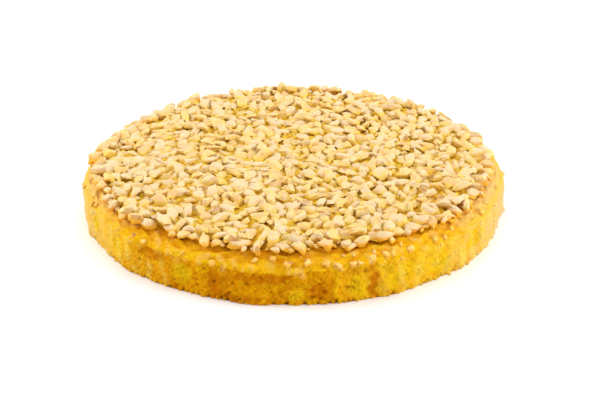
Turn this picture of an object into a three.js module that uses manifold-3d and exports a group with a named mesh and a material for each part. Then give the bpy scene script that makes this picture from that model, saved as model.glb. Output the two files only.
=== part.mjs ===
// Walnut cake: a low round sponge with a sloping shoulder, under a bed of coarsely chopped nuts.
// Millimetres, +Z up, origin at the middle of the flat base.
import * as THREE from "three";
import { mergeVertices } from "three/addons/utils/BufferGeometryUtils.js";
import Module from "manifold-3d";

const wasm = await Module();
wasm.setup();

// Driving dimensions of the sponge.
const CAKE_DIAMETER = 258.6; // at the lip, where the shoulder meets the side
const FOOT_DIAMETER = 258.6; // the side is upright
const SPONGE_HEIGHT = 26.8;
const SHOULDER_WIDTH = 10.5; // from the flat top out to the lip
const SHOULDER_DROP = 5.6; // from the flat top down to the lip
const SHOULDER_BOW = 1.7; // 1 makes a straight slope, more a fuller shoulder
const FOOT_ROUND = 0.7; // small rounding where the side meets the base
const SIDE_RIPPLE = 1.2; // deepest of the soft upright ripples in the side

// Driving dimensions of the nut topping.
const NUT_COUNT = 340; // pieces spread inside the edge row
const EDGE_COUNT = 66; // pieces along the topping's outline
const NUT_OUTLINE = 122.6; // mean radius of that outline
const OUTLINE_LEAN = 2.2; // its slow waves
const OUTLINE_SWING = 0.9; // each of its quick waves
const OUTLINE_LOBES = [ // a bulge and a hollow at the far side: angle in degrees, size
  [20, 2.5],
  [145, -4],
];
const FIELD_INSET = 9; // the inner pieces' centres end this far inside the outline
const NUT_LENGTH = [7.8, 12.6];
const NUT_WIDTH = [5.2, 8.2];
const NUT_HEIGHT = [3.9, 5.9];
const EDGE_HEIGHT = [5, 7.6]; // the pieces along the outline stand taller
const NUT_SIDES = [4, 5, 5]; // most pieces are five-sided
const NUT_TAPER = [0.6, 0.9]; // top against foot
const NUT_CORNER = [0.82, 1.18]; // how far each corner reaches, against an even prism
const NUT_TILT = 0.26; // most that a piece leans either way, in radians
const NUT_STRAY = 0.2; // most that a piece strays from its even place, against the spacing
const NUT_LIFT = [0.3, 1]; // how far a piece's lowest corner lies above the bed's base
const BED_GAP = 0.3; // clearance between the sponge and the bed of nuts
const BED_DEPTH = 2.8; // thickness of the close-packed bed that the nuts stand out of
const BED_INSET = 3; // the bed ends this far inside the outline

// Driving dimensions of the nut bits that fell on the shoulder.
const BIT_COUNT = 60;
const BIT_SIZE = [3, 5.2];
const BIT_FORM = [1.3, 1, 0.9]; // length, width and height, against the size
const BIT_SPAN = [0.5, 0.96]; // share of the way from the flat top out to the lip
const BIT_CLEAR = 3.4; // bits nearer than this to the nuts' outline are left out
const BIT_STRAY = 0.7; // most that a bit strays along the shoulder, against the spacing
const BIT_BUNCHES = 3; // places round the cake where the bits lie closer together
const BIT_BUNCHING = 0.7; // 0 is an even spread, 1 the closest bunches
const BIT_BUNCH_TURN = 0.63; // puts one bunch at the front, right of the middle

// Fineness of the faceted surfaces.
const SIDE_STEPS = 90;
const SHOULDER_STEPS = 4;
const BED_STEPS = 60;
const GOLDEN_ANGLE = Math.PI * (3 - Math.sqrt(5));
const UINT_RANGE = 2 ** 32;

// What a draw is for; each piece draws once for each.
const FOR = {
  length: 1, width: 2, height: 3, tiltX: 4, tiltY: 5, yaw: 6, strayX: 7, strayY: 8, lift: 9,
  sides: 20, taper: 21, asideX: 22, asideY: 23, corner: 30,
};

const cakeRadius = CAKE_DIAMETER / 2;
const footRadius = FOOT_DIAMETER / 2;
const flatRadius = cakeRadius - SHOULDER_WIDTH;
const lipHeight = SPONGE_HEIGHT - SHOULDER_DROP;
const bedBase = SPONGE_HEIGHT + BED_GAP;

// A repeatable draw between 0 and 1, for one item and one purpose.
function draw(item, purpose) {
  let h = Math.imul(item + 1, 0x9e3779b1) ^ Math.imul(purpose + 1, 0x85ebca6b);
  h = Math.imul(h ^ (h >>> 16), 0x7feb352d);
  h = Math.imul(h ^ (h >>> 15), 0x846ca68b);
  return ((h ^ (h >>> 16)) >>> 0) / UINT_RANGE;
}

function drawBetween([low, high], item, purpose) {
  return low + (high - low) * draw(item, purpose);
}

// A draw between -1 and 1.
function drawSigned(item, purpose) {
  return 2 * draw(item, purpose) - 1;
}

// Soft upright ripples round the side, between -1 and 1.
function ripple(angle) {
  return (
    0.44 * Math.cos(11 * angle + 0.4) +
    0.32 * Math.cos(19 * angle + 1.9) +
    0.24 * Math.cos(31 * angle + 4.1)
  );
}

// A smooth rise over half a turn, 1 at its middle and nothing at its ends.
function lobe(angle, degrees) {
  return Math.max(0, Math.cos(angle - THREE.MathUtils.degToRad(degrees))) ** 4;
}

// How far the nuts reach at an angle.
function nutOutline(angle) {
  const lean = Math.cos(angle + 2.9) + 0.35 * Math.cos(2 * angle);
  const swing = Math.cos(8 * angle + 0.3) + Math.cos(9 * angle - 2.1);
  const even = NUT_OUTLINE + OUTLINE_LEAN * lean + OUTLINE_SWING * swing;
  return OUTLINE_LOBES.reduce((reach, [degrees, size]) => reach + size * lobe(angle, degrees), even);
}

// A profile turned round Z, as a geometry with only shared positions.
function turned(profile, steps) {
  const geometry = new THREE.LatheGeometry(profile, steps);
  geometry.rotateX(Math.PI / 2);
  return positionsOnly(geometry);
}

function positionsOnly(geometry) {
  geometry.deleteAttribute("normal");
  geometry.deleteAttribute("uv");
  return mergeVertices(geometry, 1e-4);
}

// Moves every vertex by a rule that takes and changes a Vector3.
function reshape(geometry, rule) {
  const places = geometry.getAttribute("position");
  const point = new THREE.Vector3();
  for (let i = 0; i < places.count; i++) {
    rule(point.fromBufferAttribute(places, i), i);
    places.setXYZ(i, point.x, point.y, point.z);
  }
  return geometry;
}

function toSolid(geometry) {
  return new wasm.Manifold(
    new wasm.Mesh({
      numProp: 3,
      vertProperties: new Float32Array(geometry.getAttribute("position").array),
      triVerts: new Uint32Array(geometry.index.array),
    }),
  );
}

function toGeometry(solid) {
  const mesh = solid.getMesh();
  const geometry = new THREE.BufferGeometry();
  geometry.setAttribute("position", new THREE.BufferAttribute(mesh.vertProperties, 3));
  geometry.setIndex(new THREE.BufferAttribute(mesh.triVerts, 1));
  geometry.computeVertexNormals();
  return geometry;
}

// The place on the bowed shoulder, from 0 at the flat top to 1 at the lip.
function shoulderPoint(share) {
  const drop = SHOULDER_DROP * share ** SHOULDER_BOW;
  return new THREE.Vector2(flatRadius + SHOULDER_WIDTH * share, SPONGE_HEIGHT - drop);
}

// How steeply the shoulder falls there, in radians.
function shoulderSlope(share) {
  return Math.atan(((SHOULDER_BOW * SHOULDER_DROP) / SHOULDER_WIDTH) * share ** (SHOULDER_BOW - 1));
}

// The bare sponge: flat base, rounded foot, upright side, bowed shoulder and flat top.
function spongeBody() {
  const profile = [
    new THREE.Vector2(0, 0),
    new THREE.Vector2(footRadius - FOOT_ROUND, 0),
    new THREE.Vector2(footRadius, FOOT_ROUND),
    new THREE.Vector2((footRadius + cakeRadius) / 2, lipHeight / 2),
  ];
  for (let i = SHOULDER_STEPS; i >= 0; i--) profile.push(shoulderPoint(i / SHOULDER_STEPS));
  profile.push(new THREE.Vector2(0, SPONGE_HEIGHT));

  return reshape(turned(profile, SIDE_STEPS), (point) => {
    const radius = Math.hypot(point.x, point.y);
    if (radius <= flatRadius) return;
    const depth = Math.min(1, (SPONGE_HEIGHT - point.z) / SHOULDER_DROP);
    const angle = Math.atan2(point.y, point.x);
    const scale = 1 + (SIDE_RIPPLE * depth * ripple(angle)) / radius;
    point.x *= scale;
    point.y *= scale;
  });
}

// One chopped nut of a given size about the origin: an uneven prism whose top is smaller and set aside,
// so that every side stays flat.
function nutChunk(item, length, width, height) {
  const sides = NUT_SIDES[Math.floor(draw(item, FOR.sides) * NUT_SIDES.length)];
  const taper = drawBetween(NUT_TAPER, item, FOR.taper);
  const aside = new THREE.Vector2(length * drawSigned(item, FOR.asideX), width * drawSigned(item, FOR.asideY));
  aside.multiplyScalar((1 - taper) / 4);
  const prism = new THREE.CylinderGeometry(0.5, 0.5, height, sides);
  prism.rotateX(Math.PI / 2);
  return reshape(positionsOnly(prism), (point) => {
    const corner = Math.round((Math.atan2(point.y, point.x) / (2 * Math.PI)) * sides + sides) % sides;
    const pull = drawBetween(NUT_CORNER, item, FOR.corner + corner);
    point.x *= length * pull;
    point.y *= width * pull;
    if (point.z < 0) return;
    point.x = point.x * taper + aside.x;
    point.y = point.y * taper + aside.y;
  });
}

// A nut of the topping at an angle and a reach, sized, turned and tilted by its own draws.
function toppingNut(item, angle, reach, heights, stray) {
  const nut = nutChunk(
    item,
    drawBetween(NUT_LENGTH, item, FOR.length),
    drawBetween(NUT_WIDTH, item, FOR.width),
    drawBetween(heights, item, FOR.height),
  );
  const lean = new THREE.Euler(
    NUT_TILT * drawSigned(item, FOR.tiltX),
    NUT_TILT * drawSigned(item, FOR.tiltY),
    Math.PI * drawSigned(item, FOR.yaw),
    "ZXY",
  );
  nut.applyMatrix4(new THREE.Matrix4().makeRotationFromEuler(lean));
  nut.computeBoundingBox();
  nut.translate(
    reach * Math.cos(angle) + stray * drawSigned(item, FOR.strayX),
    reach * Math.sin(angle) + stray * drawSigned(item, FOR.strayY),
    bedBase + drawBetween(NUT_LIFT, item, FOR.lift) - nut.boundingBox.min.z,
  );
  return nut;
}

// Inside the outline the nuts are spread by the golden angle.
function fieldNut(item) {
  const spacing = Math.sqrt((Math.PI * (NUT_OUTLINE - FIELD_INSET) ** 2) / NUT_COUNT);
  const angle = item * GOLDEN_ANGLE;
  const reach = (nutOutline(angle) - FIELD_INSET) * Math.sqrt((item + 0.5) / NUT_COUNT);
  return toppingNut(item, angle, reach, NUT_HEIGHT, NUT_STRAY * spacing);
}

// Along the outline they lie in a ragged row, each with its outer side near the outline.
function edgeNut(item) {
  const key = NUT_COUNT + item;
  const angle = (2 * Math.PI * item) / EDGE_COUNT;
  const size = (drawBetween(NUT_LENGTH, key, FOR.length) + drawBetween(NUT_WIDTH, key, FOR.width)) / 2;
  return toppingNut(key, angle, nutOutline(angle) - size / 2, EDGE_HEIGHT, NUT_STRAY * size);
}

// The close-packed bed that holds the nuts together, with their uneven outline.
function nutBed() {
  const edge = NUT_OUTLINE - BED_INSET;
  const profile = [
    new THREE.Vector2(0, bedBase),
    new THREE.Vector2(edge, bedBase),
    new THREE.Vector2(edge - BED_DEPTH / 2, bedBase + BED_DEPTH),
    new THREE.Vector2(0, bedBase + BED_DEPTH),
  ];
  return reshape(turned(profile, BED_STEPS), (point) => {
    const scale = nutOutline(Math.atan2(point.y, point.x)) / NUT_OUTLINE;
    point.x *= scale;
    point.y *= scale;
  });
}

// Where a bit of nut lies: its angle round the cake and its share of the way down the shoulder.
function bitPlace(item) {
  const key = NUT_COUNT + EDGE_COUNT + item;
  const even = (2 * Math.PI * (item + BIT_STRAY * draw(key, FOR.strayX))) / BIT_COUNT;
  const bunch = (BIT_BUNCHING / BIT_BUNCHES) * Math.sin(BIT_BUNCHES * even + BIT_BUNCH_TURN);
  return { key, angle: even + bunch, share: drawBetween(BIT_SPAN, key, FOR.lift) };
}

function clearOfNuts({ angle, share }) {
  return shoulderPoint(share).x > nutOutline(angle) + BIT_CLEAR;
}

// A small bit of nut lying on the shoulder's slope, partly sunk into the crust.
function shoulderBit({ key, angle, share }) {
  const [length, width, height] = BIT_FORM.map((form) => form * drawBetween(BIT_SIZE, key, FOR.length));
  const place = shoulderPoint(share);
  const bit = nutChunk(key, length, width, height);
  bit.rotateZ(Math.PI * draw(key, FOR.yaw));
  bit.rotateY(shoulderSlope(share));
  bit.translate(place.x, 0, place.y);
  bit.rotateZ(angle);
  return bit;
}

function indexed(count, make) {
  return Array.from({ length: count }, (_, item) => make(item));
}

function namedMesh(name, solid, material) {
  const mesh = new THREE.Mesh(toGeometry(solid), material);
  mesh.name = name;
  return mesh;
}

const crust = new THREE.MeshStandardMaterial({ color: 0xe2a02c, roughness: 0.85, metalness: 0 });
const nutFlesh = new THREE.MeshStandardMaterial({ color: 0xf2d296, roughness: 0.6, metalness: 0 });

const bits = indexed(BIT_COUNT, bitPlace).filter(clearOfNuts).map(shoulderBit);
const nuts = [...indexed(NUT_COUNT, fieldNut), ...indexed(EDGE_COUNT, edgeNut)];
const sponge = wasm.Manifold.union([spongeBody(), ...bits].map(toSolid));
const topping = wasm.Manifold.union([nutBed(), ...nuts].map(toSolid));

const cake = new THREE.Group();
cake.name = "walnut_cake";
cake.add(namedMesh("sponge", sponge, crust));
cake.add(namedMesh("nut_topping", topping, nutFlesh));

export default cake;
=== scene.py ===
# Walnut cake: golden sponge with a rounded shoulder, under a bed of coarsely chopped nuts.
# Metres, +Z up, base at z = 0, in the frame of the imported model.
import math
from types import SimpleNamespace

import bpy
import numpy as np
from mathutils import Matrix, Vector


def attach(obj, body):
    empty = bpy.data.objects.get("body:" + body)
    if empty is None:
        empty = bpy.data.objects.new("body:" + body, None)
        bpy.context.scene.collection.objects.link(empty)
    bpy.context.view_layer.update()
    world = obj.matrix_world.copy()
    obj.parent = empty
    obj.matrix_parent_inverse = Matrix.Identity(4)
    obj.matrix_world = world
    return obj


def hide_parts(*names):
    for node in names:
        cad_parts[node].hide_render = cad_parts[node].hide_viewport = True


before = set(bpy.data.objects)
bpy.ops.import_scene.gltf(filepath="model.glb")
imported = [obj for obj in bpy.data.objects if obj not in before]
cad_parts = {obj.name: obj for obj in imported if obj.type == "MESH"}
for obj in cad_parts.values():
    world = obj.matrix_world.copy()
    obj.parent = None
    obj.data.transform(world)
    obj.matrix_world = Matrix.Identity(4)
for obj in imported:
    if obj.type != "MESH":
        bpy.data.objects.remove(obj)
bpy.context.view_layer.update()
print("frame loaded:", sorted(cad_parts))

scene = bpy.context.scene
mm = 0.001
goldenAngle = math.pi * (3 - math.sqrt(5))


# repeatable draws

def drawUnit(items, purpose):
    # 32-bit mixing hash of item and purpose, scaled to 0..1; the solids use the same rule
    h = (items + 1).astype(np.uint32) * np.uint32(0x9e3779b1)
    h = h ^ (np.full_like(h, purpose + 1) * np.uint32(0x85ebca6b))
    h = (h ^ (h >> np.uint32(16))) * np.uint32(0x7feb352d)
    h = (h ^ (h >> np.uint32(15))) * np.uint32(0x846ca68b)
    return (h ^ (h >> np.uint32(16))).astype(np.float64) / 2**32


def drawBetween(span, items, purpose):
    # straight line from the span's low end to its high end
    return span[0] + (span[1] - span[0]) * drawUnit(items, purpose)


def drawSigned(items, purpose):
    # even draw from -1 to 1
    return 2 * drawUnit(items, purpose) - 1


def clamp(value):
    return np.clip(value, 0, 1)


def waveNoise(u, v, uRange, vRange, waves, seed):
    # sum of cosines with whole-number turns round u and random pitch along v, scaled to about -1..1
    rng = np.random.default_rng(seed)
    total = np.zeros(np.broadcast(u, v).shape)
    for _ in range(waves):
        turns = rng.integers(uRange[0], uRange[1] + 1)
        pitch = rng.uniform(*vRange) * rng.choice([-1, 1])
        total += np.cos(turns * u + pitch * v + rng.uniform(0, 2 * np.pi))
    return total / math.sqrt(waves)


# mesh helpers

def gridFaces(rows, columns):
    # quads of a rows x columns grid of points, joined round along the columns
    row = np.arange(rows - 1)[:, None] * columns
    this = np.arange(columns)[None, :]
    after = (this + 1) % columns
    quads = np.stack([row + this, row + after, row + columns + after, row + columns + this], -1)
    return quads.reshape(-1, 4)


def capFans(rows, columns, bottom, top):
    # triangles that close such a grid, from its first row to a bottom point and from its last to a top point
    this = np.arange(columns)
    after = (this + 1) % columns
    last = (rows - 1) * columns
    under = np.stack([np.full(columns, bottom), after, this], -1)
    over = np.stack([last + this, last + after, np.full(columns, top)], -1)
    return np.concatenate([under, over])


def meshObject(name, points, quads, triangles, values, material):
    # one smooth mesh from arrays: quads then triangles, and one float attribute for each named value
    mesh = bpy.data.meshes.new(name)
    loops = np.concatenate([quads.ravel(), triangles.ravel()]).astype(np.int32)
    sizes = np.concatenate([np.full(len(quads), 4), np.full(len(triangles), 3)]).astype(np.int32)
    starts = np.concatenate([[0], np.cumsum(sizes)[:-1]]).astype(np.int32)
    mesh.vertices.add(len(points))
    mesh.vertices.foreach_set("co", points.astype(np.float32).ravel())
    mesh.loops.add(len(loops))
    mesh.loops.foreach_set("vertex_index", loops)
    mesh.polygons.add(len(sizes))
    mesh.polygons.foreach_set("loop_start", starts)
    mesh.polygons.foreach_set("use_smooth", np.full(len(sizes), True))
    mesh.update(calc_edges=True)
    mesh.validate()
    for key, value in values.items():
        attribute = mesh.attributes.new(key, "FLOAT", "POINT")
        attribute.data.foreach_set("value", value.astype(np.float32).ravel())
    mesh.materials.append(material)
    made = bpy.data.objects.new(name, mesh)
    scene.collection.objects.link(made)
    return made


# shader helpers

def newMaterial(name):
    # a material with one Principled shader, its node tree and that shader
    material = bpy.data.materials.new(name)
    material.use_nodes = True
    tree = material.node_tree
    tree.nodes.clear()
    output = tree.nodes.new("ShaderNodeOutputMaterial")
    shader = tree.nodes.new("ShaderNodeBsdfPrincipled")
    tree.links.new(shader.outputs["BSDF"], output.inputs["Surface"])
    return material, tree, shader


def addNode(tree, kind, settings, inputs):
    # a node with its settings, and each input, by name or number, linked to a socket or set to a value
    node = tree.nodes.new(kind)
    for key, value in settings.items():
        setattr(node, key, value)
    for key, value in inputs.items():
        socket = node.inputs[key]
        if isinstance(value, bpy.types.NodeSocket):
            tree.links.new(value, socket)
        else:
            socket.default_value = (*value, 1) if socket.type == "RGBA" else value
    return node


def mathOf(tree, operation, *values):
    return addNode(tree, "ShaderNodeMath", {"operation": operation}, dict(enumerate(values))).outputs[0]


def product(tree, first, second):
    return mathOf(tree, "MULTIPLY", first, second)


def ramp(tree, value, low, high, toLow=0.0, toHigh=1.0):
    # smooth step as the value goes from low to high
    inputs = {"Value": value, "From Min": low, "From Max": high, "To Min": toLow, "To Max": toHigh}
    node = addNode(tree, "ShaderNodeMapRange", {"interpolation_type": "SMOOTHSTEP"}, inputs)
    return node.outputs["Result"]


def cover(tree, base, colour, share, mask=None):
    # the base where the share is 0 and the colour where it is 1, within a mask
    if mask is not None:
        share = product(tree, mask, share)
    inputs = {0: share, 6: base, 7: colour}
    return addNode(tree, "ShaderNodeMix", {"data_type": "RGBA"}, inputs).outputs[2]


def attributesOf(tree, names):
    found = SimpleNamespace()
    for name in names:
        node = addNode(tree, "ShaderNodeAttribute", {"attribute_name": name}, {})
        setattr(found, name, node.outputs["Fac"])
    return found


def paint(tree, base, k, colours, layers):
    # layers laid over a base in order: colour, the value that it follows, the ramp of its share, and a mask
    for colour, value, span, *mask in layers:
        share = ramp(tree, getattr(k, value), *span)
        base = cover(tree, base, colours[colour], share, *[getattr(k, name) for name in mask])
    return base


def finishSurface(tree, shader, colour, noise, height, p):
    # colour, roughness that follows a noise, slight gloss, and a bump that follows a height
    tree.links.new(colour, shader.inputs["Base Color"])
    tree.links.new(ramp(tree, noise, 0.3, 0.7, *p["roughness"]), shader.inputs["Roughness"])
    shader.inputs["Specular IOR Level"].default_value = p["gloss"]
    inputs = {"Strength": p["bump"], "Distance": p["bumpDepth"], "Height": height}
    bump = addNode(tree, "ShaderNodeBump", {}, inputs)
    tree.links.new(bump.outputs["Normal"], shader.inputs["Normal"])


def newGroup(name, inputs, outputs):
    # an empty shader group: itself, its inputs, its outputs and the Object coordinates
    group = bpy.data.node_groups.new(name, "ShaderNodeTree")
    for label, value in inputs.items():
        socket = group.interface.new_socket(label, in_out="INPUT", socket_type="NodeSocketFloat")
        socket.default_value = value
    for label in outputs:
        group.interface.new_socket(label, in_out="OUTPUT", socket_type="NodeSocketFloat")
    source = group.nodes.new("NodeGroupInput").outputs
    result = group.nodes.new("NodeGroupOutput").inputs
    place = group.nodes.new("ShaderNodeTexCoord").outputs["Object"]
    return group, source, result, place


def mottleGroup():
    # soft blotches and fine specks from two noises
    scales = {"Blotch Scale": 60.0, "Speck Scale": 700.0, "Detail": 4.0}
    group, source, result, place = newGroup("mottle", scales, ("Blotch", "Speck"))
    for label in ("Blotch", "Speck"):
        inputs = {"Vector": place, "Scale": source[label + " Scale"], "Detail": source["Detail"]}
        noise = addNode(group, "ShaderNodeTexNoise", {}, {**inputs, "Roughness": 0.6})
        group.links.new(noise.outputs["Fac"], result[label])
    return group


poreShape = {
    "warpScale": 600.0,
    "warp": 1.6 * mm,
    "edge": 0.12,  # softness of its edge, in cells
}


def poreGroup(p):
    # one pore in each cell of a Voronoi pattern, each with its own size
    group, source, result, place = newGroup("pores", {"Scale": 450.0, "Size": 0.3}, ("Mask",))
    warp = addNode(group, "ShaderNodeTexNoise", {}, {"Vector": place, "Scale": p["warpScale"], "Detail": 2.0})
    shift = addNode(group, "ShaderNodeVectorMath", {"operation": "MULTIPLY_ADD"},
                    {0: warp.outputs["Color"], 1: (p["warp"],) * 3, 2: place})
    cells = addNode(group, "ShaderNodeTexVoronoi", {}, {"Vector": shift.outputs[0], "Scale": source["Scale"]})
    spread = addNode(group, "ShaderNodeSeparateColor", {}, {"Color": cells.outputs["Color"]})
    reach = product(group, spread.outputs[0], source["Size"])
    inside = mathOf(group, "SUBTRACT", reach, cells.outputs["Distance"])
    group.links.new(ramp(group, inside, -p["edge"], p["edge"]), result["Mask"])
    return group


mottle = mottleGroup()
pores = poreGroup(poreShape)


def placeGroup(tree, group, values):
    node = tree.nodes.new("ShaderNodeGroup")
    node.node_tree = group
    for label, value in values.items():
        node.inputs[label].default_value = value
    return node.outputs


def placeMottle(tree, blotch, speck, detail):
    spots = placeGroup(tree, mottle, {"Blotch Scale": blotch, "Speck Scale": speck, "Detail": detail})
    return spots["Blotch"], spots["Speck"]


# sponge

sponge = {
    "radius": 129.3 * mm,  # at the lip, where the shoulder meets the side
    "height": 26.8 * mm,
    "shoulderWidth": 10.5 * mm,
    "shoulderDrop": 5.6 * mm,
    "shoulderBow": 1.7,  # 1 is a straight slope, more is fuller
    "footRound": 0.7 * mm,
    "lipSoft": 2,  # passes that round the lip
    "lipWave": 0.6 * mm,
    "lipReach": 6 * mm,  # how far down the side it is felt
    "lipRidge": 0.45 * mm,
    "ridgeTall": 0.09,  # its half height, against the lip's height
    "ripples": ((0.44, 11, 0.4), (0.32, 19, 1.9), (0.24, 31, 4.1)),  # share, turns, start: as in the solid
    "ripple": 1.2 * mm,
    "flute": 0.45 * mm,  # narrow upright creases between the ripples
    "swell": 0.3 * mm,  # slow waves of the side
    "topSwell": 0.2 * mm,
    "rib": 0.22 * mm,  # upright streaks
    "wander": 0.014,  # how far they stray sideways, in radians
    "crumb": 0.36 * mm,
    "wrinkle": 0.5 * mm,  # soft folds along the shoulder
    "tear": 0.6 * mm,
    "notch": 0.75 * mm,  # ragged foot
    "footZone": 5 * mm,
    "tuck": 0.8 * mm,  # width of the line along the nuts: toasting and painted shadow
    "wallFrom": 0.96,  # of the radius: relief of the wall grows from here
    "rimFrom": 0.97,  # of the flat top: relief grows from here
    "lipFrom": 0.9,  # of the flat top: no wave of the lip further in
    "riseFrom": 0.85,  # and no fold
    "bakedAt": -103,  # where round the cake the side is darkest, in degrees
    "bakedSpan": 31,
    "bakedBehind": 0.6,  # how dark the far side is, against the darkest
    "behindSpan": 40,
    "paleFrom": -94,  # the side turns paler both ways from here: paler crust with painted glare
    "paleTo": 100,  # as far as this, and then darker again
    "paleBack": 1.86,  # how fast it does
    "pitCount": 320,
    "pitSize": (0.45 * mm, 1.3 * mm),
    "pitDepth": (0.4 * mm, 1.4 * mm),
    "pitWide": (0.8, 1.5),
    "pitSlant": 0.4,
    "pitSpread": (1.0, 1.9),  # beta draw up the side, thicker towards the foot
    "pitTop": 0.85,
    "pitFull": 0.8 * mm,  # depth at which a pit's painted shade is darkest
    "lumpCount": 150,
    "lumpSize": (1.6 * mm, 3.6 * mm),
    "lumpSlim": 0.55,
    "lumpSpan": (2 * mm, 15 * mm),  # along the outline, out from the flat top
    "lumpHeight": 1.0 * mm,
    "lowest": 0.02 * mm,
    "columns": 1000,
    "footRows": 6,
    "sideRows": 30,
    "shoulderRows": 28,
    "topRows": 10,
}

# waves over the sponge: whole turns round it, pitch up it, how many, seed
spongeWaves = {
    "swell": ((14, 60), (10, 60), 24, 12),
    "wander": ((16, 50), (50, 130), 16, 21),
    "streak": ((48, 130), (0, 9), 18, 15),
    "band": ((44, 100), (0, 24), 16, 22),
    "fold": ((10, 90), (40, 160), 40, 16),
    "grain": ((110, 400), (110, 400), 90, 11),
    "fringe": ((50, 260), (0, 1), 30, 13),
    "stray": ((7, 34), (0, 1), 16, 19),
    "ridge": ((12, 70), (0, 1), 20, 20),
    "wobble": ((30, 150), (30, 150), 40, 17),
}
pitSeed = 14
lumpSeed = 18

# where the lip sags or stands up: angle in degrees, half width in degrees, height in mm
lipShifts = (
    (-93, 11, -1.9),
    (-40, 35, 0.9),
    (152, 26, -1.9),
)

# where the crust is torn off: angle in degrees, then height, half width and half height in mm
tornPatches = (
    (-118, 11, 7, 8),
    (-74, 8, 6.5, 8),
    (-65, 10, 4, 9),
    (-89, 6, 6, 5),
    (-61, 13, 7, 7),
    (-51, 11, 9, 8),
    (-36, 13, 10, 7),
    (-141, 11, 6, 7),
    (-154, 13, 7, 7),
    (20, 12, 12, 8),
    (64, 9, 9, 7),
    (101, 12, 12, 8),
    (143, 11, 10, 7),
)

# where the crust is darkest: angle in degrees, then height, half width and half height in mm
toastedPatches = (
    (-97, 17, 23, 4.5),
    (-109, 9, 6, 12),
    (-128, 18, 10, 5),
    (-84, 8, 7, 6),
    (-70, 9, 4.5, 12),
    (-103, 3, 20, 3),
    (84, 18, 26, 4),
    (60, 7, 6, 9),
    (98, 3, 18, 3),
)


def spongeProfile(p):
    # radius and height along the outline: base, rounded foot, upright side, bowed shoulder (its drop is a
    # power of the way out) and flat top; the lip is rounded by averaging neighbours
    flat = p["radius"] - p["shoulderWidth"]
    lip = p["height"] - p["shoulderDrop"]
    base = np.linspace(0, 1, p["footRows"])[:, None] * np.array([p["radius"] - p["footRound"], 0])
    turn = np.linspace(0, np.pi / 2, 4)[1:]
    foot = np.stack([p["radius"] - p["footRound"] * (1 - np.sin(turn)),
                     p["footRound"] * (1 - np.cos(turn))], -1)
    rise = np.linspace(0, 1, p["sideRows"])[1:]
    side = np.stack([p["radius"] + 0 * rise,
                     p["footRound"] + (lip - p["footRound"]) * rise], -1)
    share = np.linspace(1, 0, p["shoulderRows"])[1:]
    shoulder = np.stack([flat + p["shoulderWidth"] * share,
                         p["height"] - p["shoulderDrop"] * share**p["shoulderBow"]], -1)
    inward = np.linspace(1, 0, p["topRows"])[1:, None]
    top = inward * np.array([flat, 0]) + np.array([0, p["height"]])
    outline = np.concatenate([base, foot, side, shoulder, top])
    first = len(base) + len(foot) + len(side) // 2
    last = first + (len(side) + len(shoulder)) // 2
    for _ in range(p["lipSoft"]):
        neighbours = outline[first - 1:last - 1] + outline[first + 1:last + 1]
        outline[first:last] = (neighbours + 2 * outline[first:last]) / 4
    return outline


def shoulderHeight(radius, p):
    # height of the smooth shoulder at a radius: the flat top less a power of the way out
    flat = p["radius"] - p["shoulderWidth"]
    out = clamp((radius - flat) / p["shoulderWidth"])
    return p["height"] - p["shoulderDrop"] * out**p["shoulderBow"]


def turnFrom(angle, start):
    # signed turn from a direction, -pi to pi
    return np.angle(np.exp(1j * (angle - start)))


def degreesFrom(angle, degrees):
    return np.degrees(turnFrom(angle, math.radians(degrees)))


def pitField(angle, height, p, seed):
    # sum of dents: depth times exp(-(distance / size) squared), drawn out sideways and slanted
    rng = np.random.default_rng(seed)
    dent = np.zeros(np.broadcast(angle, height).shape)
    for _ in range(p["pitCount"]):
        across = turnFrom(angle, rng.uniform(0, 2 * np.pi)) * p["radius"]
        up = p["height"] * rng.beta(*p["pitSpread"]) * p["pitTop"]
        size = rng.uniform(*p["pitSize"])
        wide = rng.uniform(*p["pitWide"])
        depth = rng.uniform(*p["pitDepth"]) * min(1, size / p["pitSize"][1] + 0.3)
        slant = p["pitSlant"] * rng.uniform(-1, 1)
        far = (across / wide)**2 + (height - up + slant * across)**2
        dent += depth * np.exp(-far / size**2)
    return dent


def lumpField(angle, reach, p, seed):
    # nut pieces under the shoulder's crust: round humps, each longer one way than the other
    rng = np.random.default_rng(seed)
    hump = np.zeros(np.broadcast(angle, reach).shape)
    for _ in range(p["lumpCount"]):
        across = turnFrom(angle, rng.uniform(0, 2 * np.pi)) * p["radius"]
        along = reach - rng.uniform(*p["lumpSpan"])
        heading = rng.uniform(0, np.pi)
        first = across * math.cos(heading) + along * math.sin(heading)
        second = along * math.cos(heading) - across * math.sin(heading)
        size = rng.uniform(*p["lumpSize"])
        fall = (first / size)**4 + (second / (p["lumpSlim"] * size))**4
        hump = np.maximum(hump, np.exp(-fall) * rng.uniform(0.5, 1))
    return hump


def patchField(angle, height, patches, wobble, p):
    # largest of the patches, each falling from 1 at its middle, with an edge moved about by the wobble
    field = np.full(np.broadcast(angle, height).shape, -9.0)
    for degrees, up, wide, tall in patches:
        across = turnFrom(angle, math.radians(degrees)) * p["radius"] / mm
        field = np.maximum(field, 1 - (across / wide)**2 - ((height / mm - up) / tall)**2)
    return clamp(field + wobble)


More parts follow.
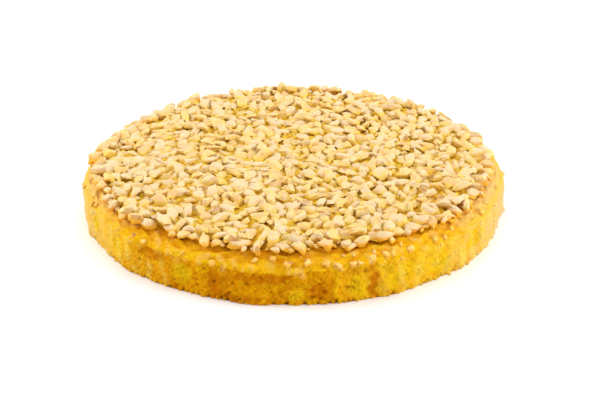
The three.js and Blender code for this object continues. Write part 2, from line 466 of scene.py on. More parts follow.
def spongeGrid(p):
    # rows along the outline, columns round it; depth is 0 on the flat top and 1 below the lip, under is 0 at
    # the lip and 1 at the foot, and each mask is 1 on the stretch that it is named after
    profile = spongeProfile(p)
    flat = p["radius"] - p["shoulderWidth"]
    lip = p["height"] - p["shoulderDrop"]
    g = SimpleNamespace(flat=flat)
    g.angle = np.linspace(0, 2 * np.pi, p["columns"], endpoint=False)[None, :]
    g.radius = profile[:, :1]
    g.height = profile[:, 1:]
    g.run = g.height / p["radius"]
    g.depth = clamp((p["height"] - g.height) / p["shoulderDrop"])
    g.under = (lip - g.height) / lip
    wallShare = (g.radius / p["radius"] - p["wallFrom"]) / (1 - p["wallFrom"])
    g.onWall = clamp(wallShare) * (g.height > 0)
    g.onRim = clamp((g.radius / flat - p["rimFrom"]) / (1 - p["rimFrom"]))
    belowLip = np.exp(-((g.height - lip) / p["lipReach"])**2)
    g.onLip = np.where(g.height > lip, g.depth, belowLip) * (g.radius > p["lipFrom"] * flat)
    g.low = clamp(1 - g.height / p["footZone"])
    steps = np.linalg.norm(np.diff(profile, axis=0, prepend=profile[:1]), axis=1)
    g.fromTop = (np.cumsum(steps[::-1])[::-1] - flat)[:, None]
    return g


def spongeFields(g, p, waves, topping):
    # waves, patches, pits and humps over the grid; darkness falls off from the darkest stretch, aside grows
    # as the side turns paler (paler crust, painted glare), and a line along the nuts takes toasting and
    # painted shadow
    f = SimpleNamespace()

    def wave(name, turn=0, along=g.run):
        return waveNoise(g.angle + turn, along, *waves[name])

    f.swell = wave("swell")
    wander = p["wander"] * wave("wander")
    f.streak = wave("streak", wander)
    f.band = wave("band", 0.3 * wander)
    f.fold = wave("fold", 0, g.radius / p["radius"] - g.run)
    f.grain = wave("grain")
    f.fringe = wave("fringe", 0, 0 * g.run)
    f.stray = wave("stray", 0, 0 * g.run)
    crust = np.clip(wave("ridge", 0, 0 * g.run), 0, 2)
    f.ridge = crust * np.exp(-(g.under / p["ridgeTall"])**2)
    wobble = 0.3 * wave("wobble")
    f.torn = patchField(g.angle, g.height, tornPatches, wobble, p) * clamp(8 * g.under)
    f.toasted = patchField(g.angle, g.height, toastedPatches, 1.3 * wobble, p) * clamp(20 * g.under)
    f.dent = pitField(g.angle, g.height, p, pitSeed) * g.onWall * clamp(6 * g.under)
    f.lump = lumpField(g.angle, g.fromTop, p, lumpSeed)
    f.sag = mm * sum(size * np.exp(-(degreesFrom(g.angle, at) / wide)**2) for at, wide, size in lipShifts)
    away = np.abs(degreesFrom(g.angle, p["bakedAt"]))
    behind = p["bakedBehind"] / (1 + ((180 - away) / p["behindSpan"])**4)
    f.baked = 1 / (1 + (away / p["bakedSpan"])**4) + behind + 0.05 * f.swell
    aside = np.abs(degreesFrom(g.angle, p["paleFrom"]))
    aside = aside - p["paleBack"] * np.clip(aside - p["paleTo"], 0, None)
    f.aside = aside / 90 + 0.03 * f.swell
    # toasting and painted shadow in a thin line just outside the nuts' outline, on the darker stretches
    outside = np.clip((g.radius - nutOutline(g.angle, topping)) / p["tuck"], 0, 9)
    f.tucked = np.exp(-outside**2) * clamp(1.6 * f.baked)
    return f


def spongePoints(g, f, p):
    # the outline turned round the axis, pushed in and out by ripples, creases, grain, tears and pits, and up
    # and down by folds, humps and the lip's waves
    ripple = sum(share * np.cos(turns * g.angle + start) for share, turns, start in p["ripples"])
    crease = np.abs(np.cos(17 * g.angle + 1.7 * np.sin(5 * g.angle) + 1.1 * np.cos(13 * g.angle)))**0.5
    rough = p["crumb"] * f.grain * (0.25 + 0.75 * g.depth + 0.7 * f.torn)
    out = g.depth * (p["ripple"] * ripple - p["flute"] * (1 - crease))
    out = out + g.onWall * (rough + p["swell"] * f.swell + p["rib"] * g.depth * f.streak)
    out = out - f.dent - p["tear"] * f.torn * (0.6 + 0.2 * f.grain)
    out = out - p["notch"] * g.onWall * g.low**1.5 * f.fringe + p["lipRidge"] * f.ridge
    out = (out + p["lumpHeight"] * f.lump * g.depth) * g.onRim
    high = clamp(2.4 * (g.height / p["height"] - 0.6))
    rise = p["lumpHeight"] * f.lump * (1 - g.depth)
    rise = rise + (p["wrinkle"] * f.fold + p["topSwell"] * f.swell) * high
    rise = rise + (p["lipWave"] * f.stray + f.sag) * g.onLip
    z = np.maximum(g.height + rise * (g.radius > p["riseFrom"] * g.flat), p["lowest"])
    z = np.where(g.height <= 0, 0, z)
    return np.stack([(g.radius + out) * np.cos(g.angle), (g.radius + out) * np.sin(g.angle), z], -1)


def makeSponge(p, waves, topping, material):
    # every row but the two on the axis, which become one point each
    g = spongeGrid(p)
    f = spongeFields(g, p, waves, topping)
    grid = spongePoints(g, f, p)[1:-1]
    rows, columns = grid.shape[:2]
    points = np.concatenate([grid.reshape(-1, 3), [[0, 0, 0], [0, 0, p["height"]]]])
    fans = capFans(rows, columns, len(points) - 2, len(points) - 1)
    # each over the rows, then at the middle of the base and of the top
    fields = {
        # painted shade in the pits, darkest at full depth
        "dent": (clamp(f.dent / p["pitFull"]), 0, 0),
        "depth": (g.depth, 1, 0),
        "under": (g.under, 1, -0.4),
        # toasting and painted shadow along the nuts
        "tucked": (f.tucked, 0, 1),
        "torn": (f.torn, 0, 0),
        "toasted": (f.toasted, 0, 0),
        "baked": (f.baked, 0.5, 0.5),
        "aside": (f.aside, 0.5, 0.5),
        "grain": (0.5 + 0.2 * f.grain, 0.5, 0.5),
        "streak": (0.5 + 0.25 * f.streak, 0.5, 0.5),
        "band": (0.5 + 0.25 * f.band, 0.5, 0.5),
        "fold": (0.5 + 0.25 * f.fold, 0.5, 0.5),
        "lump": (f.lump, 0, 0),
        # dark ragged foot: crumb edge with painted contact shadow
        "foot": (g.low * g.onWall * clamp(0.4 + 0.6 * f.fringe), 1, 0),
    }
    values = {}
    for name, (field, base, top) in fields.items():
        whole = np.broadcast_to(field, (rows + 2, columns))[1:-1]
        values[name] = np.concatenate([whole.ravel(), [base, top]])
    return meshObject("cake_sponge", points, gridFaces(rows, columns), fans, values, material)


spongeColours = {
    "pale": (0.79, 0.55, 0.27),
    "cream": (0.84, 0.55, 0.16),
    "honey": (0.90, 0.56, 0.030),
    "golden": (0.82, 0.365, 0.0015),
    "amber": (0.71, 0.265, 0.001),
    "toast": (0.60, 0.185, 0.001),
    "yellow": (0.91, 0.55, 0.006),
    "lemon": (0.93, 0.66, 0.09),
    "crumb": (0.79, 0.50, 0.006),
    "bright": (0.88, 0.44, 0.010),
    "peach": (0.92, 0.58, 0.17),
    "dark": (0.33, 0.11, 0.002),
}
spongeLayers = {
    "side": (
        ("golden", "blotch", (0.38, 0.62, 0, 0.5)),
        # paler towards the sides: paler crust with painted glare
        ("cream", "aside", (0.44, 0.72)),
        # golden between the ribs: painted shade that follows them
        ("golden", "streak", (0.45, 0.1, 0, 0.6)),
        ("yellow", "patch", (0.52, 0.7, 0, 0.6)),
        ("pale", "patch", (0.7, 0.4, 0.4, 1), "farther"),
        ("deep", "baked", (0.15, 0.85)),
        # yellow on the ribs: painted highlight that follows them
        ("yellow", "streak", (0.5, 1.0, 0, 0.6), "fore"),
        ("toast", "patch", (0.52, 0.68, 0, 0.5), "near"),
        ("yellow", "patch", (0.46, 0.3, 0, 0.4)),
        ("opened", "torn", (0.0, 0.7, 0, 0.9), "fore"),
        ("lemon", "ragged", (1.18, 1.55, 0, 0.65), "ribbed"),
        ("bright", "ragged", (1.18, 0.85, 0, 0.5), "ribbed"),
        # yellow on the crumb's bumps and toast in its hollows: painted highlight and painted shade
        ("yellow", "grain", (0.5, 0.95, 0, 0.4)),
        ("toast", "grain", (0.5, 0.1, 0, 0.4), "near"),
        ("toast", "toasted", (0.0, 0.95, 0, 0.9), "fore"),
    ),
    "top": (
        ("amber", "blotch", (0.4, 0.62, 0, 0.6)),
        # yellow smears with painted highlight on the folds' crests, amber with painted shade in their troughs
        ("yellow", "fold", (0.5, 0.95, 0, 0.8)),
        ("amber", "fold", (0.45, 0.1, 0, 0.75)),
        ("peach", "patch", (0.54, 0.7, 0, 0.5)),
        # paler towards the sides: paler crust with painted glare
        ("cream", "patch", (0.3, 0.6, 0.2, 0.8), "far"),
        ("pale", "patch", (0.6, 0.3, 0.2, 0.8), "farther"),
        # painted highlight along the lip
        ("yellow", "under", (-0.2, -0.03, 0, 0.5)),
    ),
    "both": (
        ("side", "under", (-0.03, 0.03)),
        ("peach", "lump", (0.2, 0.9, 0, 0.4)),
        # toasting and painted shadow along the nuts
        ("toast", "tucked", (0.2, 1.0, 0, 0.35)),
        ("toast", "speck", (0.54, 0.72, 0, 0.3), "near"),
        ("yellow", "speck", (0.46, 0.3, 0, 0.25)),
    ),
    "marks": (
        # painted shade in the pits
        ("dark", "dent", (0.2, 1.0, 0, 0.65), "near"),
        # dark ragged foot: crumb edge with painted contact shadow
        ("dark", "foot", (0.25, 0.8, 0, 0.8), "near"),
    ),
}
spongeTexture = {
    "coarse": (55, 520, 6),  # scale of blotches, scale of specks, detail
    "fine": (140, 1500, 4),
    "pores": {"Scale": 300, "Size": 0.34},
    "speckHeight": 2.4,
    "roughness": (0.7, 0.9),
    "gloss": 0.02,
    "bump": 0.8,
    "bumpDepth": 1 * mm,
}


def spongeLook(tree, p):
    # what the colours are mixed by: the mesh's values, noises, and masks that fade round the cake
    k = attributesOf(tree, ("depth", "under", "dent", "foot", "torn", "toasted", "streak", "fold", "lump",
                            "baked", "grain", "tucked", "aside", "band"))
    k.blotch, k.speck = placeMottle(tree, *p["coarse"])
    k.patch, k.grit = placeMottle(tree, *p["fine"])
    k.far = ramp(tree, k.aside, 0.44, 0.72)
    k.farther = ramp(tree, k.aside, 0.62, 0.9)
    k.fore = ramp(tree, k.aside, 0.95, 0.6, 0.3, 1)
    k.near = ramp(tree, k.baked, 0.1, 0.6, 0.3, 1)
    k.ribbed = product(tree, k.fore, ramp(tree, k.aside, 0.25, 0.42))
    k.ragged = mathOf(tree, "MULTIPLY_ADD", k.patch, 1.4, k.band)
    holes = placeGroup(tree, pores, p["pores"])["Mask"]
    # painted shade in the pores
    k.pore = product(tree, k.near, product(tree, holes, ramp(tree, k.depth, 0.3, 0.8, 0.05, 0.45)))
    return k


def spongeMaterial(c, layers, p):
    # light to deep by how dark the side is round the cake, top and side met at the lip, and pores, pits and
    # foot over both; pores and pits take painted shade, the ragged foot painted contact shadow
    material, tree, shader = newMaterial("golden_sponge")
    k = spongeLook(tree, p)
    mixed = dict(c)
    mixed["deep"] = cover(tree, c["golden"], c["amber"], ramp(tree, k.blotch, 0.36, 0.64))
    mixed["opened"] = cover(tree, c["yellow"], c["crumb"], ramp(tree, k.patch, 0.35, 0.65))
    mixed["side"] = paint(tree, c["honey"], k, mixed, layers["side"])
    skin = paint(tree, c["bright"], k, mixed, layers["top"])
    skin = paint(tree, skin, k, mixed, layers["both"])
    # painted shade in the pores
    skin = cover(tree, skin, c["toast"], k.pore)
    skin = paint(tree, skin, k, mixed, layers["marks"])
    height = mathOf(tree, "MULTIPLY_ADD", k.speck, p["speckHeight"], k.grit)
    finishSurface(tree, shader, skin, k.speck, mathOf(tree, "SUBTRACT", height, k.pore), p)
    return material


# nuts

nuts = {
    "count": 340,  # pieces spread over the bed, as in the solid
    "edgeCount": 66,  # and along its outline
    "outline": 122.6 * mm,
    "outlineLean": 2.2 * mm,
    "outlineSwing": 0.9 * mm,
    "outlineLobes": ((20, 2.5 * mm), (145, -4 * mm)),  # angle in degrees, size
    "fieldInset": 9 * mm,
    "length": (7.8 * mm, 12.6 * mm),
    "width": (5.2 * mm, 8.2 * mm),
    "height": (3.9 * mm, 5.9 * mm),
    "edgeHeight": (5 * mm, 7.6 * mm),
    "stretch": (0.88, 1.14),  # longer and slimmer, against the even piece
    "tilt": 0.26,
    "stray": 0.2,
    "bedBase": 27.1 * mm,
    "lift": (0.3 * mm, 1 * mm),
    "edgeLift": 0.1 * mm,
    "slopeReach": (2 * mm, 3 * mm),  # a piece leans by the shoulder's fall from so far in to so far out
    "slopeRun": 8 * mm,
    "crowding": 0.22,  # mean outline, against length and width together
}

# pieces that lie across the gaps
nesting = {
    "tries": 900,
    "firstKey": 9000,
    "turn": 0.4,
    "inset": 5 * mm,
    "jitter": 1.5 * mm,
    "room": 0.8 * mm,
    "size": ((7.8 * mm, 12.6 * mm), (6 * mm, 8.8 * mm), (3.8 * mm, 5.6 * mm)),
    "lift": (0.3 * mm, 1.8 * mm),
    "tilt": 0.6,
}

# small pieces low in the gaps
filling = {
    "tries": 3000,
    "firstKey": 5000,
    "turn": 1.3,
    "inset": 1 * mm,
    "jitter": 1.2 * mm,
    "room": -0.4 * mm,
    "share": 0.94,  # of the gaps; the others stay open as pockets
    "length": (3.3 * mm, 7.6 * mm),
    "tightLength": 3.8 * mm,
    "lengthPerRoom": 1.5,
    "lengthSwing": 1.4 * mm,
    "width": (0.55, 0.85),  # against the length
    "height": (0.5, 0.8),
    "lift": (-1 * mm, 1 * mm),
    "tilt": 0.5,
}


def nutOutline(angle, p):
    # mean radius plus two slow and two quick cosines and the far side's lobes, as in the solid
    lean = np.cos(angle + 2.9) + 0.35 * np.cos(2 * angle)
    swing = np.cos(8 * angle + 0.3) + np.cos(9 * angle - 2.1)
    radius = p["outline"] + p["outlineLean"] * lean + p["outlineSwing"] * swing
    for at, size in p["outlineLobes"]:
        radius = radius + size * clamp(np.cos(angle - math.radians(at)))**4
    return radius


def turnMatrices(tiltX, tiltY, yaw):
    # Rz(yaw) Rx(tiltX) Ry(tiltY) for each piece
    cx, sx = np.cos(tiltX), np.sin(tiltX)
    cy, sy = np.cos(tiltY), np.sin(tiltY)
    cz, sz = np.cos(yaw), np.sin(yaw)
    rows = ((cz * cy - sz * sx * sy, -sz * cx, cz * sy + sz * sx * cy),
            (sz * cy + cz * sx * sy, cz * cx, sz * sy - cz * sx * cy),
            (-cx * sy, sx, cx * cy))
    return np.stack([np.stack(row, -1) for row in rows], -2)


def ownTurns(tilt, items, first):
    # tilted both ways and turned by three of the piece's draws
    tiltX = tilt * drawSigned(items, first)
    tiltY = tilt * drawSigned(items, first + 1)
    return turnMatrices(tiltX, tiltY, math.pi * drawSigned(items, first + 2))


def evenSizes(items, names, p):
    # length, width and height by the piece's own draws, as in the solid
    return np.stack([drawBetween(p[name], items, 1 + k) for k, name in enumerate(names)], -1)


def drawnOut(even, items, p):
    # longer and slimmer by one more draw
    stretch = drawBetween(p["stretch"], items, 11)
    return even * np.stack([stretch, 1 / stretch, np.ones_like(stretch)], -1)


def fieldNuts(p):
    # golden-angle spread inside the outline with small strays, each piece turned and tilted by its own draws
    items = np.arange(p["count"])
    spacing = math.sqrt(math.pi * (p["outline"] - p["fieldInset"])**2 / p["count"])
    angle = items * goldenAngle
    reach = (nutOutline(angle, p) - p["fieldInset"]) * np.sqrt((items + 0.5) / p["count"])
    place = np.stack([reach * np.cos(angle) + p["stray"] * spacing * drawSigned(items, 7),
                      reach * np.sin(angle) + p["stray"] * spacing * drawSigned(items, 8),
                      p["bedBase"] + drawBetween(p["lift"], items, 9)], -1)
    size = drawnOut(evenSizes(items, ("length", "width", "height"), p), items, p)
    return {"size": size, "place": place, "turn": ownTurns(p["tilt"], items, 4)}


def edgeNuts(p, cake):
    # ragged row with outer sides near the outline, each leaning with the shoulder under it
    items = p["count"] + np.arange(p["edgeCount"])
    angle = 2 * np.pi * np.arange(p["edgeCount"]) / p["edgeCount"]
    even = evenSizes(items, ("length", "width", "edgeHeight"), p)
    mean = (even[:, 0] + even[:, 1]) / 2
    reach = nutOutline(angle, p) - mean / 2
    x = reach * np.cos(angle) + p["stray"] * mean * drawSigned(items, 7)
    y = reach * np.sin(angle) + p["stray"] * mean * drawSigned(items, 8)
    reach = np.hypot(x, y)
    inner, outer = p["slopeReach"]
    fall = shoulderHeight(reach - inner, cake) - shoulderHeight(reach + outer, cake)
    lean = turnMatrices(0 * angle, np.arctan(fall / p["slopeRun"]), angle)
    place = np.stack([x, y, shoulderHeight(reach, cake) + p["edgeLift"]], -1)
    return {"size": drawnOut(even, items, p), "place": place, "turn": lean @ ownTurns(p["tilt"], items, 4)}


def joinPieces(*sets):
    return {key: np.concatenate([pieces[key] for pieces in sets]) for key in sets[0]}


def roomAt(spread, taken, topping):
    # free distance from each place to the nearest piece's mean outline
    apart = np.linalg.norm(spread[:, None] - taken["place"][None, :, :2], axis=-1)
    reach = topping["crowding"] * (taken["size"][:, 0] + taken["size"][:, 1])
    return (apart - reach[None]).min(1)


def spreadPlaces(p, topping):
    # golden-angle spread inside the outline, moved about a little
    order = np.arange(p["tries"])
    items = p["firstKey"] + order
    angle = order * goldenAngle + p["turn"]
    reach = (nutOutline(angle, topping) - p["inset"]) * np.sqrt((order + 0.5) / p["tries"])
    spread = np.stack([reach * np.cos(angle), reach * np.sin(angle)], -1)
    return items, spread + p["jitter"] * np.stack([drawSigned(items, 1), drawSigned(items, 2)], -1)


def laidPieces(items, spread, size, p, topping):
    # each piece lifted off the bed, tilted and turned by its own draws
    height = topping["bedBase"] + drawBetween(p["lift"], items, 6)
    place = np.concatenate([spread, height[:, None]], -1)
    return {"size": size, "place": place, "turn": ownTurns(p["tilt"], items, 7)}


def nestNuts(p, topping, taken):
    # larger pieces where there is room, a little above the others
    items, spread = spreadPlaces(p, topping)
    keep = roomAt(spread, taken, topping) > p["room"]
    items, spread = items[keep], spread[keep]
    size = np.stack([drawBetween(span, items, 3 + k) for k, span in enumerate(p["size"])], -1)
    return laidPieces(items, spread, size, p, topping)


def fillNuts(p, topping, taken):
    # small pieces, their length a straight line of the room there plus a draw
    items, spread = spreadPlaces(p, topping)
    room = roomAt(spread, taken, topping)
    keep = (room > p["room"]) & (drawUnit(items, 10) < p["share"])
    items, spread, room = items[keep], spread[keep], room[keep]
    length = p["tightLength"] + p["lengthPerRoom"] * room + p["lengthSwing"] * drawSigned(items, 3)
    length = np.clip(length, *p["length"])
    width = length * drawBetween(p["width"], items, 4)
    height = length * drawBetween(p["height"], items, 5)
    return laidPieces(items, spread, np.stack([length, width, height], -1), p, topping)


bits = {
    "form": (1.3, 1, 0.9),  # length, width and height, against the size
    "stray": 0.7,
    "bunches": 3,
    "bunching": 0.7,
    "bunchTurn": 0.63,
    "tilt": 0.3,
    "sunk": 0.45,  # how deep a bit is set into the crust, against its size
}

# the solid's own bits
coarseBits = {
    "count": 60,
    "firstKey": nuts["count"] + nuts["edgeCount"],
    "size": (3 * mm, 5.2 * mm),
    "smallness": 1,  # power of the draw: more gives more small ones
    "span": (0.5, 0.96),  # way out over the shoulder
    "clear": 3.4 * mm,  # from the nuts' outline
}

# finer ones between them and the nuts
fineBits = {
    "count": 96,
    "firstKey": 12000,
    "size": (1.4 * mm, 3.4 * mm),
    "smallness": 1.8,
    "span": (0.3, 1.0),
    "clear": 0.2 * mm,
}


def bitsOnShoulder(q, p, topping, cake):
    # bits bunched round the shoulder, flat on its slope and half sunk, as in the solid; those too near the
    # nuts are left out
    order = np.arange(q["count"])
    keys = q["firstKey"] + order
    size = q["size"][0] + (q["size"][1] - q["size"][0]) * drawUnit(keys, 1)**q["smallness"]
    share = drawBetween(q["span"], keys, 9)
    even = 2 * np.pi * (order + p["stray"] * drawUnit(keys, 7)) / q["count"]
    angle = even + p["bunching"] / p["bunches"] * np.sin(p["bunches"] * even + p["bunchTurn"])
    radius = cake["radius"] - cake["shoulderWidth"] * (1 - share)
    keep = radius > nutOutline(angle, topping) + q["clear"]
    keys, angle, radius, share, size = [values[keep] for values in (keys, angle, radius, share, size)]
    bow = cake["shoulderBow"]
    fall = bow * cake["shoulderDrop"] / cake["shoulderWidth"] * share**(bow - 1)
    lean = turnMatrices(0 * angle, np.arctan(fall), angle)
    tiltX = p["tilt"] * drawSigned(keys, 4)
    tiltY = p["tilt"] * drawSigned(keys, 5)
    turn = lean @ turnMatrices(tiltX, tiltY, math.pi * drawUnit(keys, 6))
    height = shoulderHeight(radius, cake) - p["sunk"] * size
    place = np.stack([radius * np.cos(angle), radius * np.sin(angle), height], -1)
    return {"size": size[:, None] * np.array(p["form"]), "place": place, "turn": turn}


chunk = {
    "grid": (10, 6),  # points round a piece, rings from end to end
    "smallGrid": (8, 4),
    "sides": (3, 5),  # fewest and most flat sides
    "sideStray": 0.2,
    "sideLean": 0.16,
    "endLean": 0.3,
    "sideReach": (0.8, 1.1),  # distance of the cuts from the middle
    "endReach": (0.85, 1.1),
    "cornerReach": (0.95, 1.25),
    "sharpness": 11,
    "creaseAngle": 35,
    "lumpy": 0.085,
    "lumpWaves": 4,
    "lumpPitch": 2.6,
    "craggy": 0.05,
    "groove": 0.4,
    "grooveWidth": 0.25,
    "grooveAlong": 0.35,  # less keeps the grooves along the piece
    "narrow": 0.24,
    "curl": 0.22,
}

nutShade = {
    "toneDraw": 2.2,  # both ends of a beta draw for each piece
    "toneDrift": 0.13,  # slow change of tone over the topping
    "toneWaves": ((70, 200), (70, 200), 12, 43),
    "skinFrom": 0.35,  # brown skin covers the directions this near to one side
    "skinFade": 0.3,
    "rim": 14 * mm,  # along the outline, where the painted shade in the gaps turns amber
    "sunkFrom": 0.8 * mm,  # above the sponge: painted gap shade all over below this, and none above the next two
    "sunkInside": 4.6 * mm,
    "sunkAtRim": 3.5 * mm,
    "flankShadeFrom": 0.55,  # flanks take painted golden shade from this steepness (1 faces up, 0 sideways)
    "flankShadeBelow": -0.25,  # and are all shaded below this one
}


def toUnit(vectors):
    return vectors / np.linalg.norm(vectors, axis=-1, keepdims=True)


def chunkDirections(grid):
    # rings of directions from pole to pole, then the two poles
    turn = np.linspace(0, 2 * np.pi, grid[0], endpoint=False)
    lift = np.linspace(-np.pi / 2, np.pi / 2, grid[1] + 2)[1:-1, None]
    around = np.stack([np.cos(lift) * np.cos(turn), np.cos(lift) * np.sin(turn), np.sin(lift) + 0 * turn], -1)
    return np.concatenate([around.reshape(-1, 3), [[0, 0, -1], [0, 0, 1]]])


def chunkShapes(sizes, directions, p, seed):
    # each piece: distance along a direction is a soft minimum over two end cuts, three to five side cuts and
    # a corner cut; a groove and soft lumps shape it, then it narrows, bends and is fitted to its size
    rng = np.random.default_rng(seed)
    count = len(sizes)
    fewest, most = p["sides"]
    sides = rng.integers(fewest, most + 1, (count, 1))
    start = rng.uniform(0, 1, (count, 1))
    stray = rng.uniform(-p["sideStray"], p["sideStray"], (count, most))
    spin = 2 * np.pi * (np.arange(most) + start + stray) / sides
    cuts = np.stack([rng.normal(0, p["sideLean"], (count, most)), np.cos(spin), np.sin(spin)], -1)
    ends = np.array([[1.0, 0, 0], [-1.0, 0, 0]]) + rng.normal(0, p["endLean"], (count, 2, 3))
    corner = rng.normal(0, 1, (count, 1, 3))
    normals = toUnit(np.concatenate([cuts, ends, corner], 1))
    reach = np.concatenate([rng.uniform(*p["sideReach"], (count, most)),
                            rng.uniform(*p["endReach"], (count, 2)),
                            rng.uniform(*p["cornerReach"], (count, 1))], 1)
    facing = np.maximum(np.einsum("cpk,dk->cdp", normals, directions) / reach[:, None, :], 0)
    radius = 1 / np.sum(facing**p["sharpness"], -1)**(1 / p["sharpness"])
    along = toUnit(rng.normal(0, 1, (count, 3)) * [p["grooveAlong"], 1, 1])
    across = np.cross(along, [1.0, 0, 0])
    groove = np.exp(-((along @ directions.T) / p["grooveWidth"])**2) * clamp(across @ directions.T)
    radius = radius * (1 - rng.uniform(0, p["groove"], (count, 1)) * groove)
    for _ in range(p["lumpWaves"]):
        wave = rng.normal(0, p["lumpPitch"], (count, 3))
        phase = rng.uniform(0, 2 * np.pi, (count, 1))
        radius = radius * (1 + p["lumpy"] * np.cos(wave @ directions.T + phase))
    radius = radius * (1 + p["craggy"] * np.clip(rng.normal(0, 1, radius.shape), -2, 2))
    points = radius[..., None] * directions
    narrow = rng.uniform(-p["narrow"], p["narrow"], (count, 2))
    points[..., 1:] *= 1 + narrow[:, None] * points[..., :1]
    bend = rng.normal(0, p["curl"], (count, 2))
    points[..., 1] += bend[:, :1] * points[..., 0]**2
    points[..., 2] -= np.abs(bend[:, 1:]) * points[..., 0]**2
    low = points.min(1, keepdims=True)
    high = points.max(1, keepdims=True)
    points = (points - (low + high) / 2) / (high - low)
    return points * sizes[:, None, :]


def chunkValues(points, place, directions, p, seed, skinShare):
    # tone is one draw for each piece, skin covers one side of some, rim grows towards the topping's outline,
    # and painted shade goes down into the gaps by sunk and down the flanks
    rng = np.random.default_rng(seed)
    count, perPiece = points.shape[:2]
    drift = p["toneDrift"] * waveNoise(place[:, 0], place[:, 1], *p["toneWaves"])
    tone = rng.beta(p["toneDraw"], p["toneDraw"], count) + drift
    skinSide = toUnit(rng.normal(0, 1, (count, 3)))
    skinned = (rng.uniform(0, 1, count) < skinShare)[:, None]
    skin = clamp((skinSide @ directions.T - p["skinFrom"]) / p["skinFade"]) * skinned
    reach = np.hypot(points[..., 0], points[..., 1])
    edge = nutOutline(np.arctan2(points[..., 1], points[..., 0]), nuts) - reach
    inside = clamp(edge / p["rim"])
    # painted shade low down: how far down into the gaps a point sits
    above = points[..., 2] - shoulderHeight(reach, sponge) - p["sunkFrom"]
    clear = p["sunkAtRim"] + (p["sunkInside"] - p["sunkAtRim"]) * inside - p["sunkFrom"]
    sunk = 1 - clamp(above / clear)
    # painted shade on flanks that face sideways or down
    fromMiddle = points - points.mean(1, keepdims=True)
    facingUp = fromMiddle[..., 2] / np.linalg.norm(fromMiddle, axis=-1)
    flankShade = clamp((p["flankShadeFrom"] - facingUp) / (p["flankShadeFrom"] - p["flankShadeBelow"]))
    return {"tone": np.repeat(tone, perPiece), "skin": skin, "sunk": sunk, "flankShade": flankShade, "rim": 1 - inside}


def chunkMesh(name, pieces, grid, material, seed, skinShare, inBed):
    # every shape turned and set at its place by its lowest point, all in one mesh
    turns, rings = chunk[grid]
    directions = chunkDirections(chunk[grid])
    shapes = chunkShapes(pieces["size"], directions, chunk, seed)
    points = np.einsum("cij,cdj->cdi", pieces["turn"], shapes)
    points[..., 2] -= points[..., 2].min(1, keepdims=True)
    points += pieces["place"][:, None, :]
    count, perPiece = points.shape[:2]
    offset = (np.arange(count) * perPiece)[:, None, None]
    quads = (gridFaces(rings, turns)[None] + offset).reshape(-1, 4)
    fans = (capFans(rings, turns, perPiece - 2, perPiece - 1)[None] + offset).reshape(-1, 3)
    values = chunkValues(points, pieces["place"], directions, nutShade, seed + 1, skinShare)
    # painted gap shade only on pieces that lie in the bed
    values["sunk"] = values["sunk"] * inBed
    made = meshObject(name, points.reshape(-1, 3), quads, fans, values, material)
    made.data.set_sharp_from_angle(angle=math.radians(chunk["creaseAngle"]))
    return made


bed = {
    "columns": 360,
    "rows": 110,
    "low": 27 * mm,
    "inset": 8 * mm,  # from the nuts' outline
    "edge": 4 * mm,
    "thick": 2.8 * mm,
    "bump": 0.8 * mm,
    "bumpSpan": (-1.2, 1.6),
    "bumpPitch": (2.6 * mm, 7 * mm),
    "waves": 60,
    "seed": 31,
    "tone": 0.3,
    "amber": 0.6,  # share of painted amber shade at middle height, more in the hollows
}


def makeBed(p, topping, material):
    # a disc whose top rises from its edge to an even thickness, with bumps the size of small nut bits
    angle = np.linspace(0, 2 * np.pi, p["columns"], endpoint=False)[None, :]
    share = np.linspace(1, 0, p["rows"])[:-1, None]
    radius = (nutOutline(angle, topping) - p["inset"]) * share
    x = radius * np.cos(angle)
    y = radius * np.sin(angle)
    rng = np.random.default_rng(p["seed"])
    lump = np.zeros_like(x)
    for _ in range(p["waves"]):
        heading = rng.uniform(0, 2 * np.pi)
        pitch = 2 * np.pi / rng.uniform(*p["bumpPitch"])
        lump += np.cos(pitch * (x * np.cos(heading) + y * np.sin(heading)) + rng.uniform(0, 2 * np.pi))
    lump /= math.sqrt(p["waves"])
    inward = clamp((1 - share) * topping["outline"] / p["edge"])
    z = p["low"] + np.sqrt(inward) * (p["thick"] + p["bump"] * np.clip(lump, *p["bumpSpan"]))
    rows, columns = x.shape
    points = np.stack([x, y, z], -1).reshape(-1, 3)
    points = np.concatenate([points, [[0, 0, p["low"]], [0, 0, p["low"] + p["thick"]]]])
    fans = capFans(rows, columns, len(points) - 2, len(points) - 1)
    # the bed is painted with gap shade all over, with deeper amber shade in its hollows carried as rim
    amber = clamp(p["amber"] * (1 - lump))
    values = {"tone": np.full(len(points), p["tone"]), "skin": np.zeros(len(points)),
              "sunk": np.ones(len(points)), "rim": np.concatenate([amber.ravel(), [0, 0]])}
    return meshObject("nut_bed", points, gridFaces(rows, columns), fans, values, material)


# flesh from light to dark, painted shade in the gaps inside and at the rim, and the brown skin
nutColours = {
    "nut_flesh": {
        "cream": (0.795, 0.595, 0.345), "yellow": (0.82, 0.60, 0.18), "tan": (0.79, 0.51, 0.235),
        "innerShade": (0.88, 0.62, 0.04), "amber": (0.83, 0.395, 0.002),
        "skinLight": (0.60, 0.32, 0.085), "skinDark": (0.36, 0.155, 0.035),
    },
    "nut_toasted": {
        "cream": (0.86, 0.56, 0.17), "yellow": (0.85, 0.50, 0.08), "tan": (0.80, 0.44, 0.09),
        "innerShade": (0.70, 0.34, 0.02), "amber": (0.70, 0.34, 0.02),
        "skinLight": (0.60, 0.30, 0.09), "skinDark": (0.36, 0.15, 0.04),
    },
    "nut_grit": {
        "cream": (0.88, 0.56, 0.14), "yellow": (0.86, 0.54, 0.10), "tan": (0.80, 0.46, 0.08),
        "innerShade": (0.78, 0.49, 0.025), "amber": (0.62, 0.305, 0.007),
        "skinLight": (0.5, 0.22, 0.05), "skinDark": (0.3, 0.12, 0.03),
    },
}
